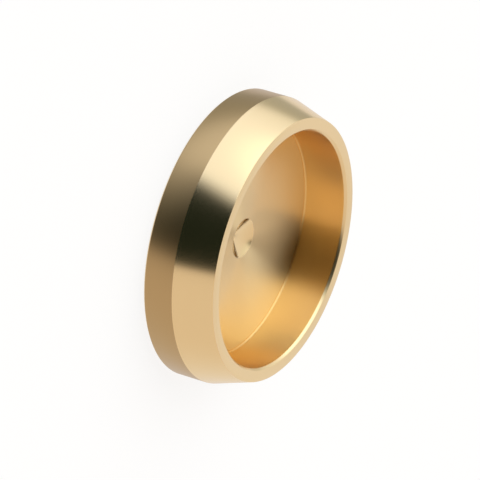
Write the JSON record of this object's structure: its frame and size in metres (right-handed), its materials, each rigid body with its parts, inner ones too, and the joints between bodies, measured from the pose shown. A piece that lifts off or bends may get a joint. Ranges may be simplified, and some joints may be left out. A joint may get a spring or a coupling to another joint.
{
  "type": "compression blanking disc",
  "caption": "Turned brass disc with a plain band, a tapered seat and a shallow bored cup, fitted under the nut in place of pipe and olive to blank off a compression fitting.",
  "frame": {"origin": "centre of the flat back face, which the disc rests on", "axes": "+Z along the disc's axis, from the flat back towards the open mouth of the cup"},
  "size_m": [0.024, 0.024, 0.0058],
  "materials": {
    "turned_brass": "satin turned brass, with the drawn skin of the bar left on the band"
  },
  "bodies": {
    "root": {"blanking_disc": "turned_brass"}
  },
  "joints": []
}
